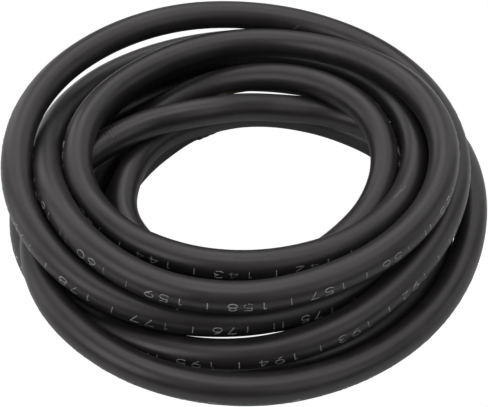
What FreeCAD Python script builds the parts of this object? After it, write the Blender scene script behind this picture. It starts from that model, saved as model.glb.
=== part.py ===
"""Coiled rubber air hose with two crimped end fittings, one of them a live swivel.

Millimetres, +Z up.  The coil lies on the plane z = 0.
The hose leaves end A (plain male fitting, under the rear turns), makes about
eight and a half turns counter-clockwise seen from above, and ends in end B
(male swivel fitting, behind the front turns, inside the coil).
"""
import math
import os

import FreeCAD
import Part

V = FreeCAD.Vector
os.makedirs("parts", exist_ok=True)

# ---- hose section -----------------------------------------------------------
HOSE_OD = 16.5            # outer diameter of the rubber cover
HOSE_ID = 9.5             # bore, nominal 3/8 in
LINER_R = 6.2             # outer radius of the inner tube
BRAID_R = 7.0             # outer radius of the textile reinforcement
COVER_R = HOSE_OD / 2.0
BORE_R = HOSE_ID / 2.0

# ---- crimped fittings, measured along their axis from the end of the hose ---
FERRULE_LEN = 16.6        # length of the ferrule over the hose
FERRULE_R = 9.25          # outer radius of the ferrule
LIP = 1.6                 # lip that locks the ferrule in the groove of the stem
LIP_R = 5.6               # bore radius of the lip
CRIMP_DEPTH = 0.4
CRIMP_W = 3.0
SHANK_LEN = 18.0          # barbed shank inside the hose
SHANK_R = BORE_R
BARB_R = 5.15
GROOVE_R = 5.4            # groove under the lip
HEX_AF = 16.0             # across the flats of both hexagons
THREAD_R = 6.58           # 1/4 in taper pipe thread, mean major radius
NECK_R = 5.6
STEM_BORE_R = 3.2         # passage of the plain fitting
HEX_END_A = 7.5
NOSE_A = 17.0

COLLAR_R = 7.6            # fixed collar of the swivel stem
COLLAR_END = 3.6
SPIGOT_R = 5.0
SPIGOT_END = 12.9
SWIVEL_BORE_R = 5.06      # running fit on the spigot
SWIVEL_START = 3.7
SWIVEL_HEX_END = 12.7
SWIVEL_SEAT = 13.2
PASSAGE_R = 2.6           # passage of the swivel fitting
NOSE_B = 22.0
RING_S = 6.6              # place of the retaining ring
RING_R = 5.1
RING_WIRE = 0.6
SEAL_S = 10.2             # place of the seal ring
SEAL_R = 4.25
SEAL_WIRE = 0.75

TAIL_A = 29.0             # straight hose behind end A, up to the coil
POCKET_R = 11.2           # free space round each fitting, between the turns
POCKET_FREE = 32.0        # the free space goes on this far past the hose end

# ---- route of the whole hose, 16 points to a turn ---------------------------
ROUTE = [
    (-19.7, 72.7, 9.3), (-31.5, 65.5, 9.2), (-43.4, 57.5, 8.9), (-64.4, 34.8, 8.2), (-76.9, 9.3, 8.4), (-79.1, -22.2, 8.2),
    (-65.4, -53.2, 8.3), (-37.5, -74.0, 8.2), (-2.9, -81.2, 8.3), (32.0, -75.1, 8.2), (62.8, -56.5, 8.9), (84.5, -26.9, 13.0),
    (92.2, 9.3, 19.8), (81.2, 44.1, 25.0), (49.3, 61.5, 23.8), (18.6, 60.5, 28.3), (-2.9, 53.8, 35.6), (-18.6, 46.0, 40.1),
    (-35.3, 40.6, 42.2), (-63.0, 34.2, 39.9), (-98.8, 9.3, 35.2), (-118.3, -38.5, 33.7), (-102.4, -90.2, 31.5), (-58.7, -125.3, 26.6),
    (-2.9, -134.7, 20.5), (50.5, -119.7, 16.1), (93.3, -86.9, 13.4), (120.2, -41.7, 14.0), (129.6, 9.3, 16.5), (119.4, 60.0, 13.2),
    (77.7, 89.9, 8.2), (36.7, 105.1, 8.4), (-2.9, 106.7, 11.5), (-39.9, 98.5, 12.7), (-74.4, 80.8, 10.8), (-107.8, 52.7, 10.4),
    (-129.4, 9.3, 13.9), (-123.2, -40.5, 15.4), (-94.7, -82.5, 17.0), (-51.7, -108.3, 22.5), (-2.9, -116.3, 24.5), (43.8, -103.5, 27.9),
    (81.0, -74.6, 33.9), (106.7, -36.1, 38.2), (117.6, 9.3, 39.7), (108.1, 55.3, 41.9), (80.7, 92.9, 43.8), (40.5, 114.2, 47.7),
    (-2.9, 118.9, 52.7), (-45.1, 111.0, 56.6), (-84.0, 90.4, 57.3), (-114.8, 55.6, 57.1), (-128.5, 9.3, 56.7), (-121.6, -39.8, 52.1),
    (-92.0, -79.8, 44.8), (-48.0, -99.4, 36.1), (-2.9, -98.8, 30.7), (36.3, -85.5, 27.6), (70.2, -63.9, 25.7), (97.0, -32.1, 25.1),
    (110.3, 9.3, 24.7), (105.5, 54.2, 25.4), (82.5, 94.7, 27.2), (44.3, 123.4, 23.9), (-2.9, 134.4, 18.1), (-50.7, 124.7, 17.5),
    (-88.7, 95.0, 23.2), (-109.4, 53.4, 33.8), (-113.4, 9.3, 47.1), (-105.3, -33.1, 55.6), (-82.3, -70.0, 55.7), (-45.6, -93.7, 51.7),
    (-2.9, -98.9, 49.1), (37.6, -88.6, 49.6), (73.5, -67.1, 50.7), (100.2, -33.4, 52.8), (108.8, 9.3, 54.3), (96.4, 50.4, 53.0),
    (68.9, 81.1, 48.9), (34.0, 98.5, 45.6), (-2.9, 102.0, 45.1), (-37.1, 91.8, 45.5), (-64.7, 71.1, 47.2), (-84.9, 43.3, 51.2),
    (-95.7, 9.3, 53.1), (-90.7, -27.0, 49.8), (-67.5, -55.2, 47.0), (-35.9, -70.4, 45.4), (-2.9, -74.3, 44.3), (29.2, -68.2, 43.2),
    (58.8, -52.5, 41.0), (82.8, -26.2, 39.0), (95.2, 9.3, 37.8), (91.5, 48.4, 36.0), (71.4, 83.7, 32.5), (37.3, 106.4, 28.5),
    (-2.9, 112.6, 27.0), (-41.7, 102.8, 28.5), (-74.0, 80.3, 29.3), (-96.8, 48.2, 23.5), (-110.5, 9.3, 16.7), (-108.4, -34.4, 18.3),
    (-83.2, -71.0, 25.6), (-42.5, -86.1, 28.1), (-2.9, -79.2, 27.3), (26.5, -61.8, 27.3), (49.5, -43.1, 27.8), (68.6, -20.3, 30.5),
    (78.4, 9.3, 35.7), (71.9, 40.3, 40.0), (51.2, 63.5, 40.8), (25.5, 78.1, 37.4), (-2.9, 84.5, 31.6), (-32.6, 80.9, 24.3),
    (-59.8, 66.1, 16.8), (-81.1, 41.7, 11.1), (-94.1, 9.3, 8.6), (-95.1, -28.9, 8.2), (-80.7, -68.5, 8.2), (-48.4, -100.4, 8.2),
    (-2.9, -112.2, 8.2), (43.5, -102.7, 8.3), (80.8, -74.5, 8.2), (106.7, -36.1, 8.2), (106.6, 9.3, 8.5), (84.1, 45.4, 8.2),
    (53.5, 65.7, 8.6), (22.7, 70.5, 13.5), (-2.9, 64.7, 20.3), (-22.8, 56.1, 23.2), (-42.0, 47.6, 24.6), (-59.5, 32.7, 23.7),
    (-69.9, 9.3, 23.7), (-71.9, -19.2, 22.9), (-56.7, -44.4, 22.0), (-31.4, -59.3, 16.5), (-2.91, -61.68, 9.3), (20.83, -51.11, 9.3),
    (24.9, -49.3, 9.3),
]

AXIS_A_DEG = 31.09        # direction of end A in plan
AXIS_B_DEG = 24.0         # direction of end B in plan
END_A = V(*ROUTE[0])
END_B = V(*ROUTE[-1])

STATIONS = 24             # sections round the coil
SIDES = 12                # sides of each section


def write(name, shape):
    if shape.ShapeType != "Solid":
        solids = shape.Solids
        if len(solids) != 1:
            raise ValueError("%s has %d solids" % (name, len(solids)))
        shape = solids[0]
    if not shape.isValid():
        raise ValueError(name + " is not valid")
    shape.exportStep("parts/%s.step" % name)
    bb = shape.BoundBox
    print("%-13s volume %10.1f  x %7.1f %7.1f  y %7.1f %7.1f  z %6.2f %6.2f  faces %d" % (
        name, shape.Volume, bb.XMin, bb.XMax, bb.YMin, bb.YMax, bb.ZMin, bb.ZMax, len(shape.Faces)))
    return shape


def place(shape, origin, deg):
    s = shape.copy()
    s.rotate(V(0, 0, 0), V(0, 0, 1), deg)
    s.translate(origin)
    return s


def turned(profile):
    """A solid turned about the X axis from (s, r) pairs."""
    pts = [V(s, r, 0) for s, r in profile]
    pts.append(pts[0])
    face = Part.Face(Part.makePolygon(pts))
    return face.revolve(V(0, 0, 0), V(1, 0, 0), 360)


def tube(s0, s1, r_in, r_out):
    outer = Part.makeCylinder(r_out, s1 - s0, V(s0, 0, 0), V(1, 0, 0))
    inner = Part.makeCylinder(r_in, s1 - s0, V(s0, 0, 0), V(1, 0, 0))
    return outer.cut(inner)


def hexagon(s0, s1, across):
    """A hexagonal prism along X, flats up and down, with turned-off corners."""
    r = across / math.sqrt(3.0)
    pts = [V(s0, r * math.cos(math.radians(60 * k)), r * math.sin(math.radians(60 * k))) for k in range(7)]
    prism = Part.Face(Part.makePolygon(pts)).extrude(V(s1 - s0, 0, 0))
    c = 0.7
    trim = turned([(s0, 0.0), (s0, r - c), (s0 + c, r), (s1 - c, r), (s1, r - c), (s1, 0.0)])
    return prism.common(trim)


# ---- coil: one closed solid with the outer shape of the turns ---------------
def spline_points(points, steps):
    """Points on the smooth line that the route's points control."""
    n = len(points)
    out = []
    for k in range(n - 2):
        a = points[k] if k == 0 else (points[k] + points[k + 1]) * 0.5
        b = points[k + 1]
        c = points[k + 2] if k == n - 3 else (points[k + 1] + points[k + 2]) * 0.5
        for i in range(steps):
            t = i / float(steps)
            out.append(a * ((1 - t) * (1 - t)) + b * (2 * t * (1 - t)) + c * (t * t))
    out.append(points[-1])
    return out


route = [V(*p) for p in ROUTE]
line = spline_points(route, 16)
hose_length = sum((line[i + 1] - line[i]).Length for i in range(len(line) - 1))
print("hose length %.0f mm" % hose_length)

# the turns that the coil holds: the two ends have solids of their own
run = 0.0
coil_line = []
for i in range(len(line) - 1):
    if run > 34.0 and run < hose_length - 66.0:
        coil_line.append(line[i])
    run += (line[i + 1] - line[i]).Length

sections = []
for j in range(STATIONS):
    az = 2 * math.pi * j / STATIONS
    near = []
    for p in coil_line:
        d = math.atan2(p.y, p.x) - az
        d = math.atan2(math.sin(d), math.cos(d))
        if abs(d) <= math.pi / STATIONS * 1.02:
            near.append((math.hypot(p.x, p.y), p.z))
    sup = []
    for k in range(SIDES):
        f = 2 * math.pi * k / SIDES
        n = (math.cos(f), math.sin(f))
        sup.append(max(r * n[0] + z * n[1] for r, z in near) + COVER_R)
    sup[SIDES * 3 // 4] = 0.0          # every section stands on the plane z = 0
    poly = []
    for k in range(SIDES):
        f0, f1 = 2 * math.pi * k / SIDES, 2 * math.pi * (k + 1) / SIDES
        det = math.cos(f0) * math.sin(f1) - math.sin(f0) * math.cos(f1)
        h0, h1 = sup[k], sup[(k + 1) % SIDES]
        r = (h0 * math.sin(f1) - h1 * math.sin(f0)) / det
        z = (math.cos(f0) * h1 - math.cos(f1) * h0) / det
        z = 0.0 if abs(z) < 1e-6 else z
        poly.append(V(r * math.cos(az), r * math.sin(az), z))
    sections.append(poly)

faces = []
for j in range(STATIONS):
    a, b = sections[j], sections[(j + 1) % STATIONS]
    for k in range(SIDES):
        p, q, r, s = a[k], b[k], b[(k + 1) % SIDES], a[(k + 1) % SIDES]
        for tri in ((p, q, r), (p, r, s)):
            if (tri[1] - tri[0]).cross(tri[2] - tri[0]).Length > 1e-6:
                faces.append(Part.Face(Part.makePolygon(list(tri) + [tri[0]])))
shell = Part.makeShell(faces)
coil = Part.makeSolid(shell)
if coil.Volume < 0:
    coil.reverse()
coil = coil.removeSplitter()
print("coil closed", shell.isClosed(), "volume", round(coil.Volume))

pocket_a = place(Part.makeCylinder(POCKET_R, TAIL_A + POCKET_FREE, V(-TAIL_A, 0, 0), V(1, 0, 0)), END_A, AXIS_A_DEG)
tail = [route[-1], route[-3], route[-4]]
pocket_b = place(Part.makeCylinder(POCKET_R, FERRULE_LEN + 3.0 + POCKET_FREE, V(-FERRULE_LEN - 3.0, 0, 0), V(1, 0, 0)), END_B, AXIS_B_DEG)
coil = coil.cut(pocket_a).cut(pocket_b)

# ---- end A: straight tail, three layers -------------------------------------
for name, r0, r1 in (("a_liner", BORE_R, LINER_R), ("a_braid", LINER_R, BRAID_R), ("a_cover", BRAID_R, COVER_R)):
    write(name, place(tube(-TAIL_A, 0, r0, r1), END_A, AXIS_A_DEG))

# ---- end B: the tail comes out of the coil in one gentle bend ---------------
# points from the hose end back into the coil, with the arc as large as its runs allow
def bend(p0, p1, p2):
    u, v = (p0 - p1), (p2 - p1)
    lu, lv = u.Length, v.Length
    u, v = u * (1 / lu), v * (1 / lv)
    turn = math.pi - math.acos(max(-1.0, min(1.0, u.dot(v))))
    t = 0.45 * min(lu, lv)
    radius = t / math.tan(turn / 2)
    start, end = p1 + u * t, p1 + v * t
    bis = (u + v)
    bis = bis * (1 / bis.Length)
    centre = p1 + bis * (radius / math.cos(turn / 2))
    mid = centre - bis * radius
    return start, mid, end, centre, radius, turn


def swept(r_in, r_out):
    p0, p1, p2 = tail
    start, mid, end, centre, radius, turn = bend(p0, p1, p2)
    out = None
    for r in (r_out, r_in) if r_in > 0 else (r_out,):
        a = Part.makeCylinder(r, (start - p0).Length, p0, start - p0)
        d = start - p0
        d = d * (1 / d.Length)
        disc = Part.Face(Part.Wire(Part.makeCircle(r, start, d)))
        axis = (p1 - start).cross(p2 - end)
        b = disc.revolve(centre, axis, math.degrees(turn))
        c = Part.makeCylinder(r, (p2 - end).Length, end, p2 - end)
        solid = a.fuse(b).fuse(c)
        out = solid if out is None else out.cut(solid)
    return out.removeSplitter(), (start - p0).Length + radius * turn + (p2 - end).Length, radius, turn


# the coil is open round the last stretch, and takes its far end in a socket
whole, length, radius, turn = swept(0.0, COVER_R)
coil = coil.cut(whole)
write("hose_coil", coil)

for name, r0, r1 in (("b_liner", BORE_R, LINER_R), ("b_braid", LINER_R, BRAID_R), ("b_cover", BRAID_R, COVER_R)):
    solid, length, radius, turn = swept(r0, r1)
    solid = write(name, solid)
    print("   %s length %.1f, bend radius %.1f over %.1f degrees, volume over section x length %.4f" % (
        name, length, radius, math.degrees(turn), solid.Volume / (math.pi * (r1 * r1 - r0 * r0) * length)))

# ---- ferrules ---------------------------------------------------------------
profile = [(-FERRULE_LEN, COVER_R + 0.35), (-FERRULE_LEN + 0.6, COVER_R), (0.0, COVER_R), (0.0, LIP_R), (LIP, LIP_R),
           (LIP, FERRULE_R - 0.7), (LIP - 0.7, FERRULE_R)]
for s in (-4.0, -8.7, -13.4):
    profile += [(s + CRIMP_W / 2, FERRULE_R), (s + CRIMP_W / 2 - CRIMP_DEPTH, FERRULE_R - CRIMP_DEPTH),
                (s - CRIMP_W / 2 + CRIMP_DEPTH, FERRULE_R - CRIMP_DEPTH), (s - CRIMP_W / 2, FERRULE_R)]
profile += [(-FERRULE_LEN + 0.4, FERRULE_R), (-FERRULE_LEN, FERRULE_R - 0.4)]
ferrule = turned(profile)
write("a_ferrule", place(ferrule, END_A, AXIS_A_DEG))
write("b_ferrule", place(ferrule, END_B, AXIS_B_DEG))


# ---- end A: one-piece stem --------------------------------------------------
def shank(bore):
    pts = [(-SHANK_LEN, bore), (-SHANK_LEN, SHANK_R - 0.6), (-SHANK_LEN + 1.0, SHANK_R)]
    for s in (-16.2, -12.4, -8.6, -4.8):
        pts += [(s, SHANK_R), (s + 2.4, BARB_R), (s + 2.7, SHANK_R)]
    return pts


stem = turned(shank(STEM_BORE_R) + [
    (0.0, SHANK_R), (0.0, GROOVE_R), (LIP + 0.4, GROOVE_R), (HEX_END_A + 0.2, GROOVE_R), (HEX_END_A + 0.2, NECK_R),
    (HEX_END_A + 1.2, NECK_R), (HEX_END_A + 1.2, THREAD_R), (NOSE_A - 0.9, THREAD_R), (NOSE_A, THREAD_R - 0.9),
    (NOSE_A, STEM_BORE_R + 0.6), (NOSE_A - 0.6, STEM_BORE_R)])
hexa = hexagon(LIP, HEX_END_A, HEX_AF).cut(Part.makeCylinder(STEM_BORE_R, 40, V(-10, 0, 0), V(1, 0, 0)))
write("a_stem", place(stem.fuse(hexa).removeSplitter(), END_A, AXIS_A_DEG))

# ---- end B: fixed stem with a spigot, seal ring, retaining ring, swivel -----
w = 0.85                                  # half width of the seal's groove
g = 0.68                                  # half width of the ring's groove
stem_b = turned(shank(PASSAGE_R) + [
    (0.0, SHANK_R), (0.0, GROOVE_R), (LIP, GROOVE_R), (LIP, COLLAR_R), (COLLAR_END - 0.3, COLLAR_R), (COLLAR_END, COLLAR_R - 0.3),
    (COLLAR_END, SPIGOT_R), (RING_S - g, SPIGOT_R), (RING_S - g, RING_R - RING_WIRE), (RING_S + g, RING_R - RING_WIRE),
    (RING_S + g, SPIGOT_R), (SEAL_S - w, SPIGOT_R), (SEAL_S - w, SEAL_R - SEAL_WIRE), (SEAL_S + w, SEAL_R - SEAL_WIRE),
    (SEAL_S + w, SPIGOT_R), (SPIGOT_END - 0.4, SPIGOT_R), (SPIGOT_END, SPIGOT_R - 0.4), (SPIGOT_END, PASSAGE_R)])
flats = Part.makeBox(COLLAR_END - LIP, 30, 30, V(LIP, -15, 7.0)).fuse(Part.makeBox(COLLAR_END - LIP, 30, 30, V(LIP, -15, -37.0)))
write("b_stem", place(stem_b.cut(flats), END_B, AXIS_B_DEG))

seal = Part.makeTorus(SEAL_R, SEAL_WIRE, V(SEAL_S, 0, 0), V(1, 0, 0))
write("b_seal", place(seal, END_B, AXIS_B_DEG))

ring = Part.makeTorus(RING_R, RING_WIRE, V(RING_S, 0, 0), V(1, 0, 0))
gap = Part.makeBox(4, 2.4, 8, V(RING_S - 2, -1.2, 0))
write("b_ring", place(ring.cut(gap), END_B, AXIS_B_DEG))

k = RING_WIRE + 0.12
swivel = hexagon(SWIVEL_START, SWIVEL_HEX_END, HEX_AF)
swivel = swivel.fuse(turned([
    (SWIVEL_HEX_END - 1.0, 0.0), (SWIVEL_HEX_END - 1.0, NECK_R + 0.9), (SWIVEL_HEX_END, NECK_R + 0.9), (SWIVEL_HEX_END, NECK_R),
    (SWIVEL_HEX_END + 1.0, NECK_R), (SWIVEL_HEX_END + 1.0, THREAD_R), (NOSE_B - 0.9, THREAD_R), (NOSE_B, THREAD_R - 0.9), (NOSE_B, 0.0)]))
swivel = swivel.cut(turned([
    (SWIVEL_START - 1.0, 0.0), (SWIVEL_START - 1.0, SWIVEL_BORE_R), (RING_S - k, SWIVEL_BORE_R), (RING_S - k, RING_R + RING_WIRE + 0.12),
    (RING_S + k, RING_R + RING_WIRE + 0.12), (RING_S + k, SWIVEL_BORE_R), (SWIVEL_SEAT, SWIVEL_BORE_R), (SWIVEL_SEAT, PASSAGE_R),
    (NOSE_B - 0.6, PASSAGE_R), (NOSE_B, PASSAGE_R + 0.6), (NOSE_B + 1.0, PASSAGE_R + 0.6), (NOSE_B + 1.0, 0.0)]))
write("b_swivel", place(swivel.removeSplitter(), END_B, AXIS_B_DEG))

print("end A at", END_A, "end B at", END_B)
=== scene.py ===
"""Coiled rubber air hose: looks.  Metres, +Z up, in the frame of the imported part."""
import math

import bmesh
import bpy
import numpy as np
from mathutils import Matrix, Vector


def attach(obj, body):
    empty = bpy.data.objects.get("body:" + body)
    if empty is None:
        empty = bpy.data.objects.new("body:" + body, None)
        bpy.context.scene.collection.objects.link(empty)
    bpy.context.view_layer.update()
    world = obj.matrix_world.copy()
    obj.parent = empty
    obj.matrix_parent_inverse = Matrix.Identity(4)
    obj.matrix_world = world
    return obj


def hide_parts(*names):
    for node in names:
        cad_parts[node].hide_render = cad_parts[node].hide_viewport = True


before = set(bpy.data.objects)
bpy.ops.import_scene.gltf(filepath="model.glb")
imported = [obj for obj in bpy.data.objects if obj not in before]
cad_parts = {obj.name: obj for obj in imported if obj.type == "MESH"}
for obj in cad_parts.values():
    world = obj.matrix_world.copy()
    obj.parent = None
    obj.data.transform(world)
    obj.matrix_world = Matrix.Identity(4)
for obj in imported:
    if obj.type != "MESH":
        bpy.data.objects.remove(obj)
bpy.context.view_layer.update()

HOSE_D = 0.0165
HOSE_R = HOSE_D / 2

# ---- camera -----------------------------------------------------------------
ELEVATION = 0.8409613
DISTANCE = 0.6809543
FOCAL_PX = 1163.6726
target = Vector((-0.002944, 0.009301, 0.0))
cam_data = bpy.data.cameras.new("camera")
cam_data.sensor_fit = "HORIZONTAL"
cam_data.sensor_width = 36.0
cam_data.lens = FOCAL_PX * 36.0 / 488.0
cam_data.clip_start = 0.01
cam_data.clip_end = 20.0
cam = bpy.data.objects.new("camera", cam_data)
bpy.context.scene.collection.objects.link(cam)
cam.location = target + Vector((0.0, -math.cos(ELEVATION), math.sin(ELEVATION))) * DISTANCE
cam.rotation_euler = (math.pi / 2 - ELEVATION, 0.0, 0.0)
bpy.context.scene.camera = cam

# ---- route of the hose, the control points of its smooth line ---------------
ROUTE = [
    (-0.0197, 0.0727, 0.0093), (-0.0315, 0.0655, 0.0092), (-0.0434, 0.0575, 0.0089), (-0.0644, 0.0348, 0.0082),
    (-0.0769, 0.0093, 0.0084), (-0.0791, -0.0222, 0.0082), (-0.0654, -0.0532, 0.0083), (-0.0375, -0.074, 0.0082),
    (-0.0029, -0.0812, 0.0083), (0.032, -0.0751, 0.0082), (0.0628, -0.0565, 0.0089), (0.0845, -0.0269, 0.013),
    (0.0922, 0.0093, 0.0198), (0.08166, 0.04429, 0.025), (0.0493, 0.0615, 0.0238), (0.0186, 0.0605, 0.0283),
    (-0.0029, 0.0538, 0.0356), (-0.0186, 0.046, 0.0405), (-0.0353, 0.0406, 0.0422), (-0.063, 0.0342, 0.0399),
    (-0.0988, 0.0093, 0.0352), (-0.1183, -0.0385, 0.0337), (-0.1024, -0.0902, 0.0315), (-0.0587, -0.1253, 0.0266),
    (-0.0029, -0.1347, 0.0205), (0.0505, -0.1197, 0.0161), (0.0933, -0.0869, 0.0134), (0.1202, -0.0417, 0.014),
    (0.1296, 0.0093, 0.0165), (0.1194, 0.06, 0.0132), (0.0777, 0.0899, 0.0082), (0.0367, 0.1051, 0.0084),
    (-0.0029, 0.1067, 0.0115), (-0.0399, 0.0985, 0.0127), (-0.0744, 0.0808, 0.0108), (-0.1078, 0.0527, 0.0104),
    (-0.1294, 0.0093, 0.0139), (-0.1232, -0.0405, 0.0154), (-0.0947, -0.0825, 0.017), (-0.0517, -0.1083, 0.0225),
    (-0.0029, -0.1163, 0.0245), (0.0438, -0.1035, 0.0279), (0.081, -0.0746, 0.0339), (0.1067, -0.0361, 0.0382),
    (0.1176, 0.0093, 0.0397), (0.1081, 0.0553, 0.0419), (0.0807, 0.0929, 0.0438), (0.0405, 0.1142, 0.0477),
    (-0.0029, 0.1189, 0.0527), (-0.0451, 0.111, 0.0566), (-0.084, 0.0904, 0.0573), (-0.1148, 0.0556, 0.0571),
    (-0.1285, 0.0093, 0.0567), (-0.1216, -0.0398, 0.0521), (-0.092, -0.0798, 0.0448), (-0.048, -0.0994, 0.0361),
    (-0.0029, -0.0988, 0.0307), (0.0363, -0.0855, 0.0276), (0.0702, -0.0639, 0.0257), (0.097, -0.0321, 0.0251),
    (0.1103, 0.0093, 0.0247), (0.1055, 0.0542, 0.0254), (0.0825, 0.0947, 0.0272), (0.0443, 0.1234, 0.0239),
    (-0.0029, 0.1344, 0.0181), (-0.0507, 0.1247, 0.0175), (-0.0887, 0.095, 0.0232), (-0.1094, 0.0534, 0.0338),
    (-0.1134, 0.0093, 0.0471), (-0.1053, -0.0331, 0.0556), (-0.0823, -0.07, 0.0557), (-0.0456, -0.0937, 0.0517),
    (-0.0029, -0.0989, 0.0491), (0.0376, -0.0886, 0.0496), (0.0735, -0.0671, 0.0507), (0.1002, -0.0334, 0.0528),
    (0.1088, 0.0093, 0.0543), (0.0964, 0.0504, 0.053), (0.0689, 0.0811, 0.0489), (0.034, 0.0985, 0.0456),
    (-0.0029, 0.102, 0.0451), (-0.0371, 0.0918, 0.0455), (-0.0647, 0.0711, 0.0472), (-0.0849, 0.0433, 0.0512),
    (-0.0957, 0.0093, 0.0531), (-0.0907, -0.027, 0.0498), (-0.0675, -0.0552, 0.047), (-0.0359, -0.0704, 0.0454),
    (-0.0029, -0.0743, 0.0443), (0.0292, -0.0682, 0.0432), (0.0588, -0.0525, 0.041), (0.0828, -0.0262, 0.039),
    (0.0952, 0.0093, 0.0378), (0.09108, 0.04823, 0.036), (0.0714, 0.0837, 0.0325), (0.0373, 0.1064, 0.0285),
    (-0.0029, 0.1126, 0.027), (-0.0417, 0.1028, 0.0285), (-0.074, 0.0803, 0.0293), (-0.0968, 0.0482, 0.0235),
    (-0.1105, 0.0093, 0.0167), (-0.1084, -0.0344, 0.0183), (-0.0832, -0.071, 0.0256), (-0.0425, -0.0861, 0.0281),
    (-0.0029, -0.0792, 0.0273), (0.0265, -0.0618, 0.0273), (0.0495, -0.0431, 0.0278), (0.0686, -0.0203, 0.0305),
    (0.0784, 0.0093, 0.0357), (0.07222, 0.04043, 0.04), (0.0512, 0.0635, 0.0408), (0.0255, 0.0781, 0.0374),
    (-0.0029, 0.0845, 0.0316), (-0.0326, 0.0809, 0.0243), (-0.0598, 0.0661, 0.0168), (-0.0811, 0.0417, 0.0111),
    (-0.0941, 0.0093, 0.0086), (-0.0951, -0.0289, 0.0082), (-0.0807, -0.0685, 0.0082), (-0.0484, -0.1004, 0.0082),
    (-0.0029, -0.1122, 0.0082), (0.0435, -0.1027, 0.0083), (0.0808, -0.0745, 0.0082), (0.1067, -0.0361, 0.0082),
    (0.1066, 0.0093, 0.0085), (0.0841, 0.0454, 0.0082), (0.0535, 0.0657, 0.0086), (0.0227, 0.0705, 0.0135),
    (-0.0029, 0.0647, 0.0203), (-0.0228, 0.0561, 0.0232), (-0.042, 0.0476, 0.0246), (-0.0595, 0.0327, 0.0237),
    (-0.0699, 0.0093, 0.0237), (-0.0719, -0.0192, 0.0229), (-0.0567, -0.0444, 0.022), (-0.0314, -0.0593, 0.0165),
    (-0.00291, -0.06168, 0.0093), (0.02083, -0.05111, 0.0093), (0.0249, -0.0493, 0.0093),
]


def link(obj):
    bpy.context.scene.collection.objects.link(obj)
    return obj


def smooth_line(points, steps):
    """The points of the route's NURBS spline, as Blender itself draws it."""
    data = bpy.data.curves.new("hose_line", "CURVE")
    data.dimensions = "3D"
    spline = data.splines.new("NURBS")
    spline.points.add(len(points) - 1)
    for p, c in zip(spline.points, points):
        p.co = (c[0], c[1], c[2], 1.0)
    spline.order_u = 3
    spline.use_endpoint_u = True
    data.resolution_u = steps
    obj = link(bpy.data.objects.new("hose_line", data))
    bpy.context.view_layer.update()
    mesh = bpy.data.meshes.new_from_object(obj)
    out = np.array([v.co[:] for v in mesh.vertices], float)
    bpy.data.meshes.remove(mesh)
    bpy.data.objects.remove(obj)
    return out


LINE = smooth_line(ROUTE, 24)
seg = np.linalg.norm(np.diff(LINE, axis=0), axis=1)
keep = np.r_[True, seg > 1e-7]
LINE = LINE[keep]
seg = np.linalg.norm(np.diff(LINE, axis=0), axis=1)
ALONG = np.r_[0.0, np.cumsum(seg)]
LENGTH = float(ALONG[-1])
T = np.gradient(LINE, axis=0)
T /= np.linalg.norm(T, axis=1)[:, None]
# section axes: "out" points away from the middle of the coil, level; "up" completes it
up0 = np.array([0.0, 0.0, 1.0])
OUT = np.cross(T, up0)
OUT /= np.linalg.norm(OUT, axis=1)[:, None]
UP = np.cross(OUT, T)


def section_at(s):
    """Centre, outward and upward axes of the hose at the lengths s."""
    c = np.stack([np.interp(s, ALONG, LINE[:, k]) for k in range(3)], -1)
    o = np.stack([np.interp(s, ALONG, OUT[:, k]) for k in range(3)], -1)
    w = np.stack([np.interp(s, ALONG, UP[:, k]) for k in range(3)], -1)
    o /= np.linalg.norm(o, axis=-1)[..., None]
    w /= np.linalg.norm(w, axis=-1)[..., None]
    return c, o, w


def on_hose(s, a, r):
    c, o, w = section_at(s)
    return c + (o * np.cos(a)[..., None] + w * np.sin(a)[..., None]) * np.asarray(r)[..., None]


# turns, counted from the front: 0 front, 0.25 right, 0.5 back, 0.75 left
mid = LINE[:, :2].mean(axis=0)
TURNS = (np.unwrap(np.arctan2(LINE[:, 1] - mid[1], LINE[:, 0] - mid[0])) + math.pi / 2) / (2 * math.pi)
TURNS -= round(TURNS[0] + 2.47)


def smoothstep(x):
    x = np.clip(x, 0.0, 1.0)
    return x * x * (3 - 2 * x)


def at_turn(t):
    """Length along the hose where it has made t turns."""
    return float(np.interp(t, TURNS, ALONG))


# ---- the rubber cover -------------------------------------------------------
SIDES = 48
SEAM = -math.pi / 2


def cover_radius(s, a):
    """The moulded surface isn't perfectly round: slow swells and a faint flat, under a tenth of a millimetre."""
    r = HOSE_R - 0.00003 + 0.00002 * np.sin(s * 41.0 + 2 * a) + 0.000015 * np.sin(s * 97.0 - 3 * a + 1.3)
    return r


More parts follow.
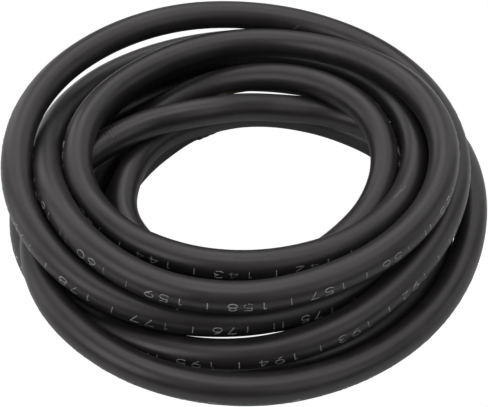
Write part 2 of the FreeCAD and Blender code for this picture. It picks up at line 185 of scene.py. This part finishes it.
def cover_mesh(name):
    n = len(LINE)
    ang = SEAM + np.arange(SIDES) * 2 * math.pi / SIDES
    verts = np.zeros((n, SIDES, 3))
    for k, a in enumerate(ang):
        r = cover_radius(ALONG, a)[:, None]
        verts[:, k, :] = LINE + (OUT * math.cos(a) + UP * math.sin(a)) * r
    faces = []
    for i in range(n - 1):
        for k in range(SIDES):
            k2 = (k + 1) % SIDES
            faces.append((i * SIDES + k, i * SIDES + k2, (i + 1) * SIDES + k2, (i + 1) * SIDES + k))
    verts = verts.reshape(-1, 3).tolist()
    uvs = []
    scale = 1.0 / (2 * math.pi * HOSE_R)
    for i in range(n - 1):
        for k in range(SIDES):
            v0, v1 = k / SIDES, (k + 1) / SIDES
            u0, u1 = ALONG[i] * scale, ALONG[i + 1] * scale
            uvs += [(u0, v0), (u0, v1), (u1, v1), (u1, v0)]
    # both ends are cut square: a flat rim, and a bore that holds the braid and the liner
    bore = HOSE_D / 2 - 0.00122
    for end, depth in ((0, BORE_DEPTH[0]), (n - 1, BORE_DEPTH[1])):
        idx = [i for i in range(n) if abs(ALONG[i] - ALONG[end]) <= depth]
        idx = idx if end == 0 else idx[::-1]
        rings = []
        for i in idx:
            base = len(verts)
            for a in ang:
                verts.append((LINE[i] + (OUT[i] * math.cos(a) + UP[i] * math.sin(a)) * bore).tolist())
            rings.append(base)
        sgn = 1 if end == 0 else -1

        def quad(p, q, r, s):
            faces.append((p, q, r, s) if sgn > 0 else (s, r, q, p))
            uvs.extend([(0.0, 0.0)] * 4)
        for k in range(SIDES):
            k2 = (k + 1) % SIDES
            quad(end * SIDES + k2, end * SIDES + k, rings[0] + k, rings[0] + k2)
            for b0, b1 in zip(rings[:-1], rings[1:]):
                quad(b0 + k2, b0 + k, b1 + k, b1 + k2)
        last = rings[-1]
        ring = [last + k for k in range(SIDES)]
        faces.append(tuple(reversed(ring)) if sgn > 0 else tuple(ring))
        uvs.extend([(0.0, 0.0)] * SIDES)
    mesh = bpy.data.meshes.new(name)
    mesh.from_pydata(verts, [], faces)
    layer = mesh.uv_layers.new(name="along_round")
    layer.data.foreach_set("uv", np.array(uvs, float).ravel())
    mesh.update()
    for p in mesh.polygons:
        p.use_smooth = len(p.vertices) == 4 and p.index < (n - 1) * SIDES
    return mesh


BORE_DEPTH = (0.0285, 0.0560)
hose_mesh = cover_mesh("air_hose")
hose = link(bpy.data.objects.new("air_hose", hose_mesh))


# ---- thin strokes printed on the cover --------------------------------------
def ribbon(bm, path, width, top, bottom):
    """A closed strip on the hose along (length, arc) points in metres; arc 0 is the outward side."""
    p = np.array(path, float)
    d = np.gradient(p, axis=0)
    ln = np.linalg.norm(d, axis=1)
    d /= np.where(ln > 0, ln, 1)[:, None]
    nrm = np.stack([-d[:, 1], d[:, 0]], 1) * width / 2
    a, b = p + nrm, p - nrm
    rows = []
    for q in (a, b):
        for r in (top, bottom):
            rows.append(on_hose(q[:, 0], q[:, 1] / HOSE_R, np.full(len(q), HOSE_R + r)))
    vs = [[bm.verts.new(v) for v in row] for row in rows]       # a top, a bottom, b top, b bottom
    at, ab, bt, bb = vs
    for i in range(len(p) - 1):
        bm.faces.new((at[i], bt[i], bt[i + 1], at[i + 1]))
        bm.faces.new((ab[i], ab[i + 1], bb[i + 1], bb[i]))
        bm.faces.new((at[i], at[i + 1], ab[i + 1], ab[i]))
        bm.faces.new((bt[i], bb[i], bb[i + 1], bt[i + 1]))
    bm.faces.new((at[0], ab[0], bb[0], bt[0]))
    bm.faces.new((at[-1], bt[-1], bb[-1], ab[-1]))


def arc_pts(cx, cy, rx, ry, a0, a1, n=14):
    return [(cx + rx * math.cos(math.radians(a0 + (a1 - a0) * i / n)), cy + ry * math.sin(math.radians(a0 + (a1 - a0) * i / n)))
            for i in range(n + 1)]


# strokes of the figures in a box one unit wide and one high
FIGURES = {
    "0": [arc_pts(0.5, 0.5, 0.48, 0.47, 0, 360, 26)],
    "1": [[(0.25, 0.78), (0.5, 0.97), (0.5, 0.03)]],
    "2": [arc_pts(0.5, 0.70, 0.43, 0.27, 170, -20, 12) + [(0.1, 0.03), (0.95, 0.03)]],
    "3": [arc_pts(0.48, 0.73, 0.40, 0.24, 160, -90, 12), arc_pts(0.48, 0.26, 0.45, 0.24, 90, -160, 12)],
    "4": [[(0.75, 0.03), (0.75, 0.97), (0.08, 0.3), (0.97, 0.3)]],
    "5": [[(0.9, 0.97), (0.18, 0.97), (0.14, 0.56)] + arc_pts(0.46, 0.32, 0.46, 0.29, 125, -150, 14)],
    "6": [[(0.78, 0.95), (0.3, 0.72), (0.06, 0.36)], arc_pts(0.5, 0.31, 0.44, 0.29, 180, -180, 20)],
    "7": [[(0.06, 0.97), (0.94, 0.97), (0.38, 0.03)]],
    "8": [arc_pts(0.5, 0.74, 0.36, 0.23, 0, 360, 18), arc_pts(0.5, 0.27, 0.45, 0.25, 0, 360, 20)],
    "9": [arc_pts(0.5, 0.69, 0.44, 0.29, 0, 360, 20), [(0.94, 0.64), (0.7, 0.28), (0.22, 0.05)]],
    "|": [[(0.5, 0.05), (0.5, 0.95)]],
    "-": [[(0.15, 0.5), (0.85, 0.5)]],
}
FIG_W, FIG_H, FIG_PITCH = 0.0048, 0.0044, 0.0072


def dense(path, step=0.0006):
    out = [path[0]]
    for p, q in zip(path[:-1], path[1:]):
        d = math.hypot(q[0] - p[0], q[1] - p[1])
        m = max(1, int(math.ceil(d / step)))
        for i in range(1, m + 1):
            out.append((p[0] + (q[0] - p[0]) * i / m, p[1] + (q[1] - p[1]) * i / m))
    return out


def print_angle(s):
    """The printed line stays on the outward flank and rolls under at both ends of the hose."""
    t = np.interp(s, ALONG, TURNS)
    under = smoothstep((-0.33 - t) / 0.35) + smoothstep((t - 4.33) / 0.35)
    return math.radians(PRINT_DEG) - math.radians(35) * under


PRINT_DEG = 14.0
INK_RNG = np.random.default_rng(7)


def printed(name):
    bm = bmesh.new()
    s = LENGTH - 0.045
    count = 101
    while s > 0.075:
        label = "%03d" % count + (" | " if count % 5 else " || ")
        for ch in label:
            if ch != " ":
                for stroke in FIGURES[ch]:
                    a0 = float(print_angle(s)) * HOSE_R
                    path = dense([(s - x * FIG_W, a0 + (0.5 - y) * FIG_H) for x, y in stroke])
                    # worn print: some strokes lose a short piece
                    if INK_RNG.random() < 0.28 and len(path) > 9:
                        k = int(INK_RNG.integers(2, len(path) - 5))
                        for part in (path[:k], path[k + 2:]):
                            if len(part) > 2:
                                ribbon(bm, part, INK_W, 0.00006, -0.00025)
                    else:
                        ribbon(bm, path, INK_W, 0.00006, -0.00025)
            s -= FIG_PITCH * (0.62 if ch in " |" else 1.0)
        s -= 0.004
        count += 1
    mesh = bpy.data.meshes.new(name)
    bmesh.ops.recalc_face_normals(bm, faces=bm.faces)
    bm.to_mesh(mesh)
    bm.free()
    return link(bpy.data.objects.new(name, mesh))


INK_W = 0.00042
ink = printed("length_marks")


def scuffs(name):
    """Small handling marks: two hair-thin scratches, a fleck and a short scrape."""
    bm = bmesh.new()
    for s0, s1, a0, a1, width in ((3.7180, 3.7262, 101, 96, 0.00022), (3.7240, 3.7305, 92, 90, 0.00018),
                                  (2.2722, 2.2731, 84, 84, 0.00055), (1.9010, 1.9040, 150, 172, 0.00020)):
        m = 9
        path = [(s0 + (s1 - s0) * i / m, math.radians(a0 + (a1 - a0) * i / m) * HOSE_R + 0.00006 * math.sin(i * 1.7)) for i in range(m + 1)]
        ribbon(bm, path, width, 0.00004, -0.00020)
    bmesh.ops.recalc_face_normals(bm, faces=bm.faces)
    mesh = bpy.data.meshes.new(name)
    bm.to_mesh(mesh)
    bm.free()
    return link(bpy.data.objects.new(name, mesh))


scrapes = scuffs("handling_scuffs")


# ---- materials --------------------------------------------------------------
def material(name):
    m = bpy.data.materials.new(name)
    m.use_nodes = True
    nt = m.node_tree
    bsdf = nt.nodes["Principled BSDF"]
    return m, nt, bsdf


class Graph:
    """A short way to lay out a material's nodes."""

    def __init__(self, name):
        self.m, self.nt, self.bsdf = material(name)

    def node(self, kind, **props):
        n = self.nt.nodes.new(kind)
        for k, v in props.items():
            setattr(n, k, v)
        return n

    def link(self, a, b):
        self.nt.links.new(a, b)

    def coords(self, kind="Object", scale=(1, 1, 1), rot=(0, 0, 0)):
        tc = self.node("ShaderNodeTexCoord")
        mp = self.node("ShaderNodeMapping")
        self.link(tc.outputs[kind], mp.inputs["Vector"])
        mp.inputs["Scale"].default_value = scale
        mp.inputs["Rotation"].default_value = rot
        return mp.outputs["Vector"]

    def noise(self, vec, scale, detail=2.0, rough=0.5, distortion=0.0):
        n = self.node("ShaderNodeTexNoise")
        self.link(vec, n.inputs["Vector"])
        n.inputs["Scale"].default_value = scale
        n.inputs["Detail"].default_value = detail
        n.inputs["Roughness"].default_value = rough
        n.inputs["Distortion"].default_value = distortion
        return n.outputs["Fac"] if "Fac" in n.outputs else n.outputs[0]

    def wave(self, vec, scale, direction="X", distortion=0.0, detail=0.0):
        n = self.node("ShaderNodeTexWave", wave_type="BANDS", bands_direction=direction)
        self.link(vec, n.inputs["Vector"])
        n.inputs["Scale"].default_value = scale
        n.inputs["Distortion"].default_value = distortion
        n.inputs["Detail"].default_value = detail
        return n.outputs["Fac"] if "Fac" in n.outputs else n.outputs[1]

    def remap(self, value, a, b, c, d):
        n = self.node("ShaderNodeMapRange")
        self.link(value, n.inputs["Value"])
        for k, v in zip(("From Min", "From Max", "To Min", "To Max"), (a, b, c, d)):
            n.inputs[k].default_value = v
        return n.outputs["Result"]

    def math(self, op, a, b):
        n = self.node("ShaderNodeMath", operation=op)
        for sock, v in zip(n.inputs, (a, b)):
            if isinstance(v, (int, float)):
                sock.default_value = v
            else:
                self.link(v, sock)
        return n.outputs[0]

    def mix(self, fac, c0, c1):
        n = self.node("ShaderNodeMix", data_type="RGBA")
        self.link(fac, n.inputs[0])
        for sock, c in ((n.inputs[6], c0), (n.inputs[7], c1)):
            if isinstance(c, tuple):
                sock.default_value = c
            else:
                self.link(c, sock)
        return n.outputs[2]

    def bump(self, height, strength, distance, normal=None):
        n = self.node("ShaderNodeBump")
        n.inputs["Strength"].default_value = strength
        n.inputs["Distance"].default_value = distance
        self.link(height, n.inputs["Height"])
        if normal is not None:
            self.link(normal, n.inputs["Normal"])
        return n.outputs["Normal"]

    def out(self, color=None, roughness=None, normal=None):
        if color is not None:
            self.link(color, self.bsdf.inputs["Base Color"])
        if roughness is not None:
            self.link(roughness, self.bsdf.inputs["Roughness"])
        if normal is not None:
            self.link(normal, self.bsdf.inputs["Normal"])


COVER_BASE = (0.0122, 0.0108, 0.0116)
COVER_ROUGH = 0.40

g = Graph("cover_rubber")
obj_v = g.coords("Object")
uv_v = g.coords("UV", (1, 1, 1))
streak_v = g.coords("UV", (0.35, 30, 1))
mottle = g.noise(obj_v, 75.0, 4.0, 0.6)
patch = g.noise(obj_v, 16.0, 2.0, 0.5)
streak = g.noise(streak_v, 1.0, 3.0, 0.6)
speck = g.noise(obj_v, 1500.0, 1.0, 0.5)
grain = g.noise(obj_v, 3200.0, 2.0, 0.6)


def scaled(c, k):
    return (c[0] * k, c[1] * k, c[2] * k, 1.0)


tone = g.mix(g.remap(mottle, 0.3, 0.7, 0.0, 1.0), scaled(COVER_BASE, 0.72), scaled(COVER_BASE, 1.30))
tone = g.mix(g.remap(streak, 0.52, 0.80, 0.0, 0.40), tone, scaled(COVER_BASE, 1.9))
tone = g.mix(g.remap(speck, 0.755, 0.80, 0.0, 0.5), tone, (0.16, 0.155, 0.15, 1.0))
worn = g.math("ADD", g.remap(patch, 0.35, 0.65, -0.030, 0.030), g.remap(mottle, 0.3, 0.7, -0.022, 0.022))
worn = g.math("ADD", worn, g.remap(streak, 0.4, 0.8, 0.012, -0.020))
rough = g.math("ADD", worn, COVER_ROUGH)
nrm = g.bump(grain, 0.10, 0.00004)
nrm = g.bump(streak, 0.12, 0.00006, nrm)
nrm = g.bump(g.noise(obj_v, 260.0, 3.0, 0.6), 0.10, 0.00010, nrm)
# fine cross wrinkles, only on one rear turn where the bend squeezes its inner side
sep = g.node("ShaderNodeSeparateXYZ")
g.link(uv_v, sep.inputs[0])
unit = 1.0 / (2 * math.pi * HOSE_R)
w0, w1 = at_turn(-1.308) * unit, at_turn(-1.276) * unit
band = g.math("MULTIPLY", g.remap(sep.outputs[0], w0, w0 + 0.15, 0.0, 1.0), g.remap(sep.outputs[0], w1 - 0.15, w1, 1.0, 0.0))
ripples = g.wave(g.coords("UV", (1, 0.3, 1)), 8.0, "X", 1.6, 2.0)
nrm = g.bump(g.math("MULTIPLY", ripples, band), 0.40, 0.00020, nrm)
g.bsdf.inputs["Specular Tint"].default_value = (1.0, 0.965, 0.99, 1.0)
g.out(tone, rough, nrm)
rubber = g.m
hose_mesh.materials.append(rubber)

g = Graph("mark_ink")
v = g.coords("Object")
fade = g.noise(v, 420.0, 3.0, 0.7)
wear = g.noise(v, 60.0, 2.0, 0.5)
g.out(g.mix(g.remap(g.math("ADD", fade, wear), 0.75, 1.15, 0.0, 1.0), (0.075, 0.074, 0.072, 1), (0.33, 0.325, 0.315, 1)),
      g.remap(fade, 0.3, 0.7, 0.45, 0.62), g.bump(fade, 0.2, 0.00003))
ink.data.materials.append(g.m)

g = Graph("scuffed_rubber")
v = g.coords("Object")
dust = g.noise(v, 900.0, 3.0, 0.7)
g.out(g.mix(g.remap(dust, 0.35, 0.65, 0.0, 1.0), (0.10, 0.098, 0.096, 1), (0.26, 0.255, 0.25, 1)), g.remap(dust, 0.3, 0.7, 0.6, 0.8),
      g.bump(dust, 0.3, 0.00003))
scrapes.data.materials.append(g.m)

AXIS_A = Vector((math.cos(math.radians(31.09)), math.sin(math.radians(31.09)), 0.0))
AXIS_B = Vector((math.cos(math.radians(24.0)), math.sin(math.radians(24.0)), 0.0))
ROT_A = (0.0, 0.0, -math.radians(31.09))
ROT_B = (0.0, 0.0, -math.radians(24.0))


def brass(name, rot):
    g = Graph(name)
    v = g.coords("Object", (1, 1, 1), rot)
    stain = g.noise(v, 140.0, 4.0, 0.6)
    fine = g.noise(g.coords("Object", (1, 12, 12), rot), 500.0, 2.0, 0.6)
    turned = g.wave(v, 700.0, "X", 0.6, 1.0)
    edge = g.node("ShaderNodeNewGeometry").outputs["Pointiness"]
    tone = g.mix(g.remap(stain, 0.35, 0.7, 0.0, 1.0), (0.72, 0.53, 0.25, 1), (0.46, 0.31, 0.13, 1))
    tone = g.mix(g.remap(edge, 0.52, 0.60, 0.0, 0.7), tone, (0.86, 0.70, 0.40, 1))
    g.bsdf.inputs["Metallic"].default_value = 1.0
    g.out(tone, g.remap(g.math("ADD", stain, fine), 0.7, 1.3, 0.24, 0.44), g.bump(turned, 0.25, 0.00003, g.bump(fine, 0.15, 0.00002)))
    return g.m


def coated_steel(name, rot):
    g = Graph(name)
    v = g.coords("Object", (1, 1, 1), rot)
    blot = g.noise(v, 160.0, 4.0, 0.6)
    peel = g.noise(v, 1400.0, 2.0, 0.5)
    edge = g.node("ShaderNodeNewGeometry").outputs["Pointiness"]
    tone = g.mix(g.remap(blot, 0.3, 0.7, 0.0, 1.0), (0.020, 0.020, 0.021, 1), (0.036, 0.036, 0.038, 1))
    tone = g.mix(g.math("MULTIPLY", g.remap(edge, 0.53, 0.62, 0.0, 1.0), g.remap(blot, 0.4, 0.55, 0.2, 1.0)), tone, (0.30, 0.30, 0.30, 1))
    g.out(tone, g.remap(blot, 0.3, 0.7, 0.32, 0.48), g.bump(peel, 0.25, 0.00003))
    return g.m


def yarn(name, rot):
    g = Graph(name)
    a = g.wave(g.coords("Object", (1, 1, 1), (rot[0], rot[1], rot[2] + math.radians(54))), 260.0, "X", 0.3, 1.0)
    b = g.wave(g.coords("Object", (1, 1, 1), (rot[0], rot[1], rot[2] - math.radians(54))), 260.0, "X", 0.3, 1.0)
    weave = g.math("MAXIMUM", a, b)
    fuzz = g.noise(g.coords("Object"), 1800.0, 3.0, 0.6)
    tone = g.mix(g.remap(weave, 0.2, 0.9, 0.0, 1.0), (0.30, 0.28, 0.24, 1), (0.62, 0.60, 0.54, 1))
    g.out(tone, g.remap(fuzz, 0.3, 0.7, 0.75, 0.95), g.bump(weave, 0.7, 0.0002, g.bump(fuzz, 0.3, 0.00005)))
    return g.m


def dull_rubber(name, lo, hi, r0, r1, scale):
    g = Graph(name)
    v = g.coords("Object")
    n = g.noise(v, scale, 4.0, 0.6)
    f = g.noise(v, 2600.0, 2.0, 0.6)
    g.out(g.mix(g.remap(n, 0.3, 0.7, 0.0, 1.0), lo, hi), g.remap(n, 0.3, 0.7, r0, r1), g.bump(f, 0.2, 0.00003))
    return g.m


def spring_steel(name, rot):
    g = Graph(name)
    n = g.noise(g.coords("Object", (6, 1, 1), rot), 900.0, 3.0, 0.6)
    g.bsdf.inputs["Metallic"].default_value = 1.0
    g.out(g.mix(g.remap(n, 0.3, 0.7, 0.0, 1.0), (0.42, 0.42, 0.43, 1), (0.60, 0.60, 0.60, 1)), g.remap(n, 0.3, 0.7, 0.22, 0.42),
          g.bump(n, 0.2, 0.00002))
    return g.m


def dress(name, mat):
    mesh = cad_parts[name].data
    if len(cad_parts[name].material_slots):
        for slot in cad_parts[name].material_slots:
            slot.material = mat
    else:
        mesh.materials.append(mat)


brass_a, brass_b = brass("brass_a", ROT_A), brass("brass_b", ROT_B)
steel_a, steel_b = coated_steel("ferrule_black_a", ROT_A), coated_steel("ferrule_black_b", ROT_B)
dress("a_stem", brass_a)
dress("b_stem", brass_b)
dress("b_swivel", brass_b)
dress("b_ferrule", steel_b)
liner_mat = dull_rubber("liner_rubber", (0.022, 0.022, 0.022, 1), (0.040, 0.040, 0.040, 1), 0.55, 0.72, 300.0)
dress("b_seal", dull_rubber("seal_rubber", (0.014, 0.014, 0.014, 1), (0.026, 0.026, 0.026, 1), 0.30, 0.45, 500.0))
dress("b_ring", spring_steel("spring_steel", ROT_B))


# ---- the ferrule of end A, with its crimps as soft waists -----------------------
def crimped(name, origin, axis, mat):
    side = Vector((-axis.y, axis.x, 0.0))
    up = Vector((0.0, 0.0, 1.0))
    prof = [(-0.0166, 0.00826), (-0.0166, 0.00885), (-0.0164, 0.00908), (-0.0161, 0.00918)]
    for k in range(49):
        s = -0.0158 + 0.0158 * k / 49
        dip = sum(math.exp(-((s + c) / 0.0013) ** 2) for c in (0.0040, 0.0087, 0.0134))
        prof.append((s, 0.00922 - 0.00024 * dip))
    prof += [(0.0, 0.00925), (0.0009, 0.00925), (0.0013, 0.00912), (0.0016, 0.00870), (0.0016, 0.00562), (0.0, 0.00562), (0.0, 0.00826)]
    bm = bmesh.new()
    m = 64
    rings = [[bm.verts.new(origin + axis * s + side * (math.cos(2 * math.pi * k / m) * r) + up * (math.sin(2 * math.pi * k / m) * r))
              for k in range(m)] for s, r in prof]
    for a, b in zip(rings, rings[1:] + rings[:1]):
        for k in range(m):
            k2 = (k + 1) % m
            bm.faces.new((a[k], a[k2], b[k2], b[k]))
    bmesh.ops.recalc_face_normals(bm, faces=bm.faces)
    mesh = bpy.data.meshes.new(name)
    bm.to_mesh(mesh)
    bm.free()
    mesh.materials.append(mat)
    for p in mesh.polygons:
        p.use_smooth = abs(p.normal.dot(axis)) < 0.7
    return link(bpy.data.objects.new(name, mesh))


sleeve_a = crimped("a_crimped_sleeve", Vector(ROUTE[0]), AXIS_A, steel_a)

# ---- the layers under the cover at both ends, on the line of the hose ----------
def layer(name, s0, s1, r0, r1, mat):
    rows = np.linspace(s0, s1, max(8, int((s1 - s0) / 0.001)))
    ang = np.arange(SIDES) * 2 * math.pi / SIDES
    bm = bmesh.new()
    rings = []
    for s in rows:
        ss = np.full(SIDES, s)
        rings.append([[bm.verts.new(v) for v in on_hose(ss, ang, np.full(SIDES, r))] for r in (r0, r1)])
    for p, q in zip(rings[:-1], rings[1:]):
        for k in range(SIDES):
            k2 = (k + 1) % SIDES
            bm.faces.new((p[0][k], q[0][k], q[0][k2], p[0][k2]))
            bm.faces.new((p[1][k], p[1][k2], q[1][k2], q[1][k]))
    for ring in (rings[0], rings[-1]):
        for k in range(SIDES):
            k2 = (k + 1) % SIDES
            bm.faces.new((ring[0][k], ring[0][k2], ring[1][k2], ring[1][k]))
    bmesh.ops.recalc_face_normals(bm, faces=bm.faces)
    mesh = bpy.data.meshes.new(name)
    bm.to_mesh(mesh)
    bm.free()
    mesh.materials.append(mat)
    for p in mesh.polygons:
        p.use_smooth = abs(p.normal.dot(Vector(section_tangent(p.center)))) < 0.5
    return link(bpy.data.objects.new(name, mesh))


def section_tangent(p):
    k = int(np.argmin(((LINE - np.array(p)) ** 2).sum(axis=1)))
    d = LINE[min(k + 1, len(LINE) - 1)] - LINE[max(k - 1, 0)]
    return d / np.linalg.norm(d)


layers = {
    "a_liner": layer("a_inner_tube", 0.00005, 0.0283, 0.00478, 0.00619, liner_mat),
    "a_braid": layer("a_yarn_layer", 0.00005, 0.0283, 0.00621, 0.00700, yarn("yarn_a", ROT_A)),
    "b_liner": layer("b_inner_tube", LENGTH - 0.0558, LENGTH - 0.00005, 0.00478, 0.00619, liner_mat),
    "b_braid": layer("b_yarn_layer", LENGTH - 0.0558, LENGTH - 0.00005, 0.00621, 0.00700, yarn("yarn_b", ROT_B)),
}

# ---- pipe threads: one ridge wound round each nose ----------------------------
def thread(name, origin, axis, s0, s1, r0, pitch, height, mat):
    axis = axis.normalized()
    side = Vector((-axis.y, axis.x, 0.0))
    up = Vector((0.0, 0.0, 1.0))
    steps = 40
    turns = (s1 - s0) / pitch
    n = int(turns * steps)
    bm = bmesh.new()
    rings = []
    for i in range(n + 1):
        t = i / steps
        ang = 2 * math.pi * t
        ease = min(1.0, i / 12.0, (n - i) / 12.0)
        h = height * max(ease, 0.02)
        w = pitch * 0.46
        c = s0 + pitch * t
        prof = ((-w, -0.0003), (-w, 0.0), (-0.06 * pitch, h), (0.06 * pitch, h), (w, 0.0), (w, -0.0003))
        ring = []
        for ds, dr in prof:
            r = r0 + dr
            p = origin + axis * (c + ds) + side * (math.cos(ang) * r) + up * (math.sin(ang) * r)
            ring.append(bm.verts.new(p))
        rings.append(ring)
    for a, b in zip(rings[:-1], rings[1:]):
        for k in range(6):
            k2 = (k + 1) % 6
            bm.faces.new((a[k], a[k2], b[k2], b[k]))
    bm.faces.new(rings[0][::-1])
    bm.faces.new(rings[-1])
    bmesh.ops.recalc_face_normals(bm, faces=bm.faces)
    mesh = bpy.data.meshes.new(name)
    bm.to_mesh(mesh)
    bm.free()
    mesh.materials.append(mat)
    return link(bpy.data.objects.new(name, mesh))


END_A, END_B = Vector(ROUTE[0]), Vector(ROUTE[-1])
thread_a = thread("a_thread_ridge", END_A, AXIS_A, 0.0094, 0.0156, 0.00656, 0.00141, 0.00042, brass_a)
thread_b = thread("b_thread_ridge", END_B, AXIS_B, 0.0145, 0.0206, 0.00656, 0.00141, 0.00042, brass_b)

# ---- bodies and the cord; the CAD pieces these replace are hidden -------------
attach(hose, "hose")
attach(ink, "hose")
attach(scrapes, "hose")
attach(thread_a, "hose")
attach(thread_b, "swivel")
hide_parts("hose_coil", "a_cover", "b_cover")
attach(sleeve_a, "hose")
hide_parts("a_ferrule")
for node, piece in layers.items():
    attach(piece, "hose")
    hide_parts(node)

# ---- floor and light --------------------------------------------------------
def plane(name, half, mat):
    mesh = bpy.data.meshes.new(name)
    mesh.from_pydata([(-half, -half, 0), (half, -half, 0), (half, half, 0), (-half, half, 0)], [], [(0, 1, 2, 3)])
    mesh.materials.append(mat)
    return link(bpy.data.objects.new(name, mesh))


white, nt, bsdf = material("floor_white")
bsdf.inputs["Base Color"].default_value = (0.3, 0.3, 0.3, 1)
bsdf.inputs["Roughness"].default_value = 0.9
bsdf.inputs["Emission Color"].default_value = (1, 1, 1, 1)
bsdf.inputs["Emission Strength"].default_value = 1.0
floor = plane("floor", 40.0, white)
for ray in ("diffuse", "glossy", "transmission", "volume_scatter", "shadow"):
    setattr(floor, "visible_" + ray, False)
# a plain round backdrop, so that low views end in white
bm = bmesh.new()
bmesh.ops.create_uvsphere(bm, u_segments=48, v_segments=24, radius=6.0)
backdrop = link(bpy.data.objects.new("backdrop", bpy.data.meshes.new("backdrop")))
bm.to_mesh(backdrop.data)
bm.free()
backdrop.data.materials.append(white)
for ray in ("diffuse", "glossy", "transmission", "volume_scatter", "shadow"):
    setattr(backdrop, "visible_" + ray, False)
pale, nt, bsdf = material("floor_pale")
bsdf.inputs["Base Color"].default_value = (0.85, 0.85, 0.85, 1)
bsdf.inputs["Roughness"].default_value = 0.9
bounce = plane("floor_bounce", 4.0, pale)
bounce.visible_camera = False

world = bpy.data.worlds.new("studio")
bpy.context.scene.world = world
world.use_nodes = True
world.node_tree.nodes["Background"].inputs["Color"].default_value = (1, 1, 1, 1)
world.node_tree.nodes["Background"].inputs["Strength"].default_value = 0.06
bpy.context.scene.view_settings.view_transform = "Standard"
bpy.context.scene.view_settings.look = "None"


def area(name, loc, aim, size, power, size_y=None):
    d = bpy.data.lights.new(name, "AREA")
    d.shape = "RECTANGLE"
    d.size = size
    d.size_y = size_y or size
    d.energy = power
    o = link(bpy.data.objects.new(name, d))
    o.location = loc
    o.rotation_euler = (Vector(aim) - Vector(loc)).to_track_quat("-Z", "Y").to_euler()
    return o


# softboxes: name, azimuth (0 back, 90 right, 180 front), elevation, distance, size, power
for name, az, el, dist, size, power in (
        ("back_low", 0, 20, 1.3, 0.6, 0.54),
        ("back", 0, 45, 1.3, 0.6, 2.68),
        ("back_high", 0, 68, 1.3, 0.45, 1.18),
        ("front_high", 180, 68, 1.3, 0.45, 0.36),
        ("left_low", -90, 16, 1.3, 0.6, 2.32),
        ("left", -90, 40, 1.3, 0.6, 1.31),
        ("leftback_low", -45, 20, 1.3, 0.7, 2.89),
        ("leftback", -45, 50, 1.3, 0.6, 2.29),
        ("leftfront", -135, 40, 1.3, 0.7, 5.19),
        ("right_low", 90, 16, 1.3, 0.6, 1.41),
        ("right_high", 90, 66, 1.3, 0.5, 1.88),
        ("rightback_low", 45, 20, 1.3, 0.7, 1.82),
        ("rightback", 45, 50, 1.3, 0.6, 1.60),
        ("rightfront", 135, 40, 1.3, 0.7, 2.30),
        ("top", 0, 90, 1.3, 0.4, 2.24),
):
    a, e = math.radians(az), math.radians(el)
    area("softbox_" + name, (dist * math.sin(a) * math.cos(e), dist * math.cos(a) * math.cos(e), dist * math.sin(e)),
         (0, 0, 0.02), size, power)
